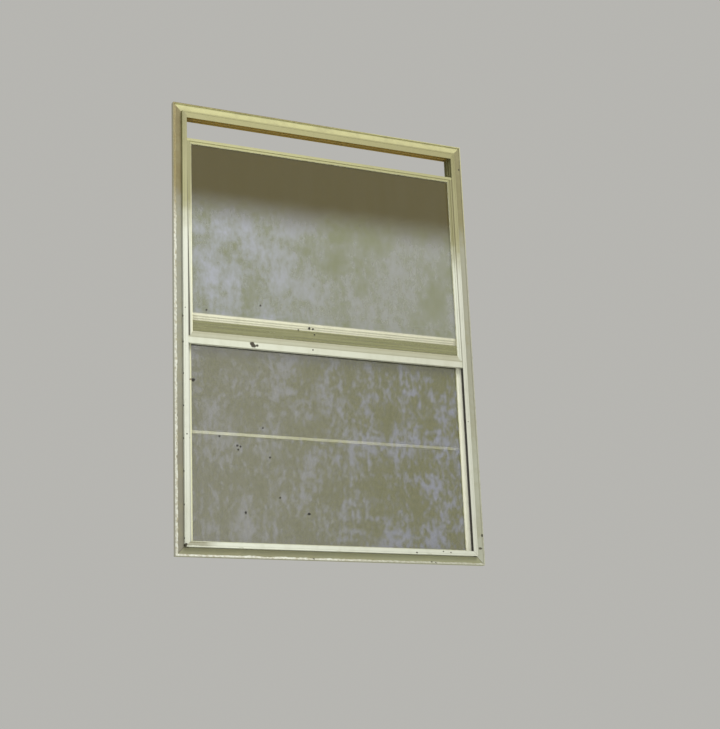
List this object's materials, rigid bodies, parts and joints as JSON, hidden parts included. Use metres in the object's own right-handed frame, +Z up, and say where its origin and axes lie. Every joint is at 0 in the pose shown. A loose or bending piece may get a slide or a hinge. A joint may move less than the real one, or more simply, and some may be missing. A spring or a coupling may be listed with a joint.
{
  "type": "sash window",
  "caption": "Double-hung aluminium sash window with triple tracks in a mitred mounting band: two glazed sashes and an insect screen slide up and down and latch.",
  "frame": {"origin": "bottom centre of the window, in the middle of its depth", "axes": "+X right as seen from outside, +Y in through the wall to the room, +Z up"},
  "size_m": [0.951, 0.048, 1.329],
  "materials": {
    "white_enamel": "white baked enamel, satin, weathered",
    "band_enamel": "grey-beige enamel, satin, weathered",
    "glass": "clear float glass, dusty",
    "vinyl": "glazing vinyl, satin",
    "pile": "woven pile",
    "latch_nylon": "moulded nylon, matt",
    "spring_steel": "bright spring wire",
    "screw_steel": "zinc plated",
    "key_metal": "mill finish",
    "mesh": "fibreglass insect mesh",
    "spline": "vinyl spline, matt",
    "packer": "hard rubber packers"
  },
  "bodies": {
    "frame": {"band_gussets": "key_metal", "band_head": "band_enamel", "band_jamb_left": "band_enamel", "band_jamb_right": "band_enamel", "band_sill": "band_enamel", "track_corner_keys": "key_metal", "track_corner_rivets": "screw_steel", "track_head": "white_enamel", "track_jamb_left": "white_enamel", "track_jamb_right": "white_enamel", "track_screws": "screw_steel", "track_sill": "white_enamel", "setting_blocks": "packer"},
    "upper_sash": {"upper_bottom_rail": "white_enamel", "upper_corner_screws": "screw_steel", "upper_gasket": "vinyl", "upper_glass": "glass", "upper_latch_guides": "latch_nylon", "upper_pile": "pile", "upper_spring_left": "spring_steel", "upper_spring_right": "spring_steel", "upper_stile_left": "white_enamel", "upper_stile_right": "white_enamel", "upper_top_rail": "white_enamel"},
    "lower_sash": {"lower_bottom_rail": "white_enamel", "lower_corner_screws": "screw_steel", "lower_gasket": "vinyl", "lower_glass": "glass", "lower_latch_guides": "latch_nylon", "lower_lift": "white_enamel", "lower_pile": "pile", "lower_spring_left": "spring_steel", "lower_spring_right": "spring_steel", "lower_stile_left": "white_enamel", "lower_stile_right": "white_enamel", "lower_top_rail": "white_enamel"},
    "screen": {"screen_bottom_rail": "white_enamel", "screen_corner_screws": "screw_steel", "screen_latch_guides": "latch_nylon", "screen_mesh": "mesh", "screen_spline": "spline", "screen_spreader": "white_enamel", "screen_spring_left": "spring_steel", "screen_spring_right": "spring_steel", "screen_stile_left": "white_enamel", "screen_stile_right": "white_enamel", "screen_top_rail": "white_enamel"},
    "upper_latch_left": {"upper_latch_left": "latch_nylon"},
    "upper_latch_right": {"upper_latch_right": "latch_nylon"},
    "lower_latch_left": {"lower_latch_left": "latch_nylon"},
    "lower_latch_right": {"lower_latch_right": "latch_nylon"},
    "screen_latch_left": {"screen_latch_left": "latch_nylon"},
    "screen_latch_right": {"screen_latch_right": "latch_nylon"}
  },
  "joints": [
    {"name": "upper_sash_slide", "type": "slide", "parent": "frame", "child": "upper_sash", "axis": [0, 0, 1], "range_m": [-0.5533, 0.075]},
    {"name": "lower_sash_slide", "type": "slide", "parent": "frame", "child": "lower_sash", "axis": [0, 0, 1], "range_m": [0, 0.588]},
    {"name": "screen_slide", "type": "slide", "parent": "frame", "child": "screen", "axis": [0, 0, 1], "range_m": [0, 0.588]},
    {"name": "upper_latch_left_slide", "type": "slide", "parent": "upper_sash", "child": "upper_latch_left", "axis": [1, 0, 0], "range_m": [-0.0018, 0.006], "stiffness_N_per_m": 300, "deforming": ["upper_spring_left"]},
    {"name": "upper_latch_right_slide", "type": "slide", "parent": "upper_sash", "child": "upper_latch_right", "axis": [-1, 0, 0], "range_m": [-0.0018, 0.006], "stiffness_N_per_m": 300, "deforming": ["upper_spring_right"]},
    {"name": "lower_latch_left_slide", "type": "slide", "parent": "lower_sash", "child": "lower_latch_left", "axis": [1, 0, 0], "range_m": [-0.0018, 0.006], "stiffness_N_per_m": 300, "deforming": ["lower_spring_left"]},
    {"name": "lower_latch_right_slide", "type": "slide", "parent": "lower_sash", "child": "lower_latch_right", "axis": [-1, 0, 0], "range_m": [-0.0018, 0.006], "stiffness_N_per_m": 300, "deforming": ["lower_spring_right"]},
    {"name": "screen_latch_left_slide", "type": "slide", "parent": "screen", "child": "screen_latch_left", "axis": [1, 0, 0], "range_m": [-0.0018, 0.006], "stiffness_N_per_m": 300, "deforming": ["screen_spring_left"]},
    {"name": "screen_latch_right_slide", "type": "slide", "parent": "screen", "child": "screen_latch_right", "axis": [-1, 0, 0], "range_m": [-0.0018, 0.006], "stiffness_N_per_m": 300, "deforming": ["screen_spring_right"]}
  ]
}
